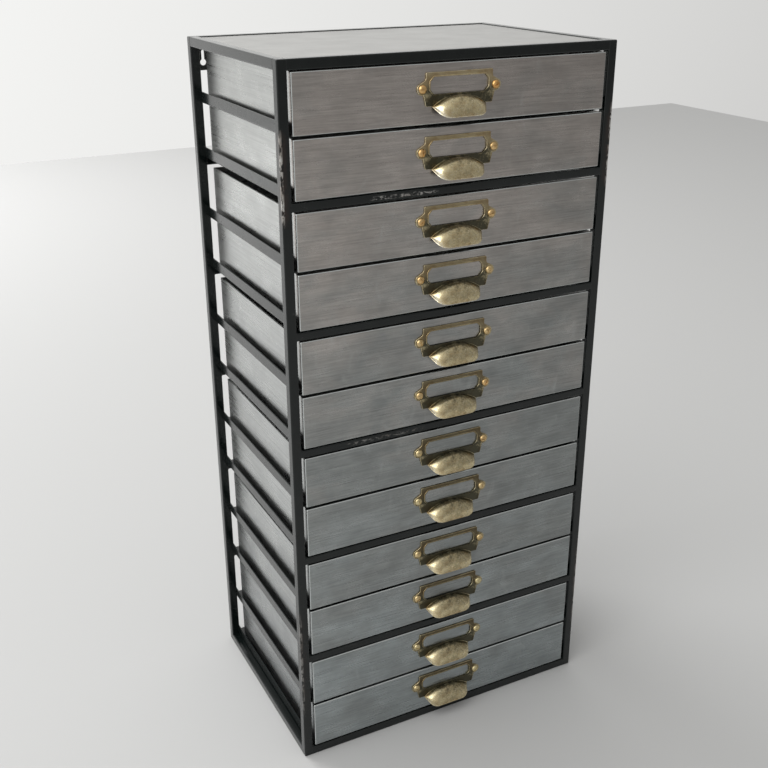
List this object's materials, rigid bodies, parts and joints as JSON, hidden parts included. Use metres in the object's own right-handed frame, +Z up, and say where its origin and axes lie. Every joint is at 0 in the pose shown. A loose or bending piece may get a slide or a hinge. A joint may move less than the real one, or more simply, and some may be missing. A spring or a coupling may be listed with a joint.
{
  "type": "tall chest of drawers",
  "caption": "Tall chest of shallow sheet-steel drawers sliding in an open black square-tube frame, each with a brass cup pull and card holder.",
  "frame": {"origin": "on the floor, under the middle of the outline with the pulls included", "axes": "+Z up, drawer fronts face -Y, +X to the right of someone facing the fronts"},
  "size_m": [0.468, 0.3406, 0.975],
  "materials": {
    "black_paint": "satin black paint on welded steel tube, chipped on some edges",
    "front_steel": "dark gunmetal steel brushed along its length, lightly mottled, clear coated",
    "box_steel": "pale steel sheet, brushed along its length",
    "panel_steel": "pale steel sheet, finely brushed from side to side",
    "antique_brass": "antique brass, darkened in the recesses and rubbed bright on the edges and the cup"
  },
  "bodies": {
    "frame": {"left_side_frame": "black_paint", "right_side_frame": "black_paint", "front_rail_top": "black_paint", "rear_rail_top": "black_paint", "front_rail_bay_1": "black_paint", "rear_rail_bay_1": "black_paint", "front_rail_bay_2": "black_paint", "rear_rail_bay_2": "black_paint", "front_rail_bay_3": "black_paint", "rear_rail_bay_3": "black_paint", "front_rail_bay_4": "black_paint", "rear_rail_bay_4": "black_paint", "front_rail_bay_5": "black_paint", "rear_rail_bay_5": "black_paint", "front_rail_bottom": "black_paint", "rear_rail_bottom": "black_paint", "top_panel": "panel_steel", "left_wall_tab": "black_paint", "right_wall_tab": "black_paint"},
    "drawer_01": {"drawer_01_box": "box_steel", "drawer_01_front": "front_steel", "drawer_01_pull": "antique_brass"},
    "drawer_02": {"drawer_02_box": "box_steel", "drawer_02_front": "front_steel", "drawer_02_pull": "antique_brass"},
    "drawer_03": {"drawer_03_box": "box_steel", "drawer_03_front": "front_steel", "drawer_03_pull": "antique_brass"},
    "drawer_04": {"drawer_04_box": "box_steel", "drawer_04_front": "front_steel", "drawer_04_pull": "antique_brass"},
    "drawer_05": {"drawer_05_box": "box_steel", "drawer_05_front": "front_steel", "drawer_05_pull": "antique_brass"},
    "drawer_06": {"drawer_06_box": "box_steel", "drawer_06_front": "front_steel", "drawer_06_pull": "antique_brass"},
    "drawer_07": {"drawer_07_box": "box_steel", "drawer_07_front": "front_steel", "drawer_07_pull": "antique_brass"},
    "drawer_08": {"drawer_08_box": "box_steel", "drawer_08_front": "front_steel", "drawer_08_pull": "antique_brass"},
    "drawer_09": {"drawer_09_box": "box_steel", "drawer_09_front": "front_steel", "drawer_09_pull": "antique_brass"},
    "drawer_10": {"drawer_10_box": "box_steel", "drawer_10_front": "front_steel", "drawer_10_pull": "antique_brass"},
    "drawer_11": {"drawer_11_box": "box_steel", "drawer_11_front": "front_steel", "drawer_11_pull": "antique_brass"},
    "drawer_12": {"drawer_12_box": "box_steel", "drawer_12_front": "front_steel", "drawer_12_pull": "antique_brass"}
  },
  "joints": [
    {"name": "drawer_01_slide", "type": "slide", "parent": "frame", "child": "drawer_01", "axis": [0, -1, 0], "range_m": [0, 0.23]},
    {"name": "drawer_02_slide", "type": "slide", "parent": "frame", "child": "drawer_02", "axis": [0, -1, 0], "range_m": [0, 0.23]},
    {"name": "drawer_03_slide", "type": "slide", "parent": "frame", "child": "drawer_03", "axis": [0, -1, 0], "range_m": [0, 0.23]},
    {"name": "drawer_04_slide", "type": "slide", "parent": "frame", "child": "drawer_04", "axis": [0, -1, 0], "range_m": [0, 0.23]},
    {"name": "drawer_05_slide", "type": "slide", "parent": "frame", "child": "drawer_05", "axis": [0, -1, 0], "range_m": [0, 0.23]},
    {"name": "drawer_06_slide", "type": "slide", "parent": "frame", "child": "drawer_06", "axis": [0, -1, 0], "range_m": [0, 0.23]},
    {"name": "drawer_07_slide", "type": "slide", "parent": "frame", "child": "drawer_07", "axis": [0, -1, 0], "range_m": [0, 0.23]},
    {"name": "drawer_08_slide", "type": "slide", "parent": "frame", "child": "drawer_08", "axis": [0, -1, 0], "range_m": [0, 0.23]},
    {"name": "drawer_09_slide", "type": "slide", "parent": "frame", "child": "drawer_09", "axis": [0, -1, 0], "range_m": [0, 0.23]},
    {"name": "drawer_10_slide", "type": "slide", "parent": "frame", "child": "drawer_10", "axis": [0, -1, 0], "range_m": [0, 0.23]},
    {"name": "drawer_11_slide", "type": "slide", "parent": "frame", "child": "drawer_11", "axis": [0, -1, 0], "range_m": [0, 0.23]},
    {"name": "drawer_12_slide", "type": "slide", "parent": "frame", "child": "drawer_12", "axis": [0, -1, 0], "range_m": [0, 0.23]}
  ]
}
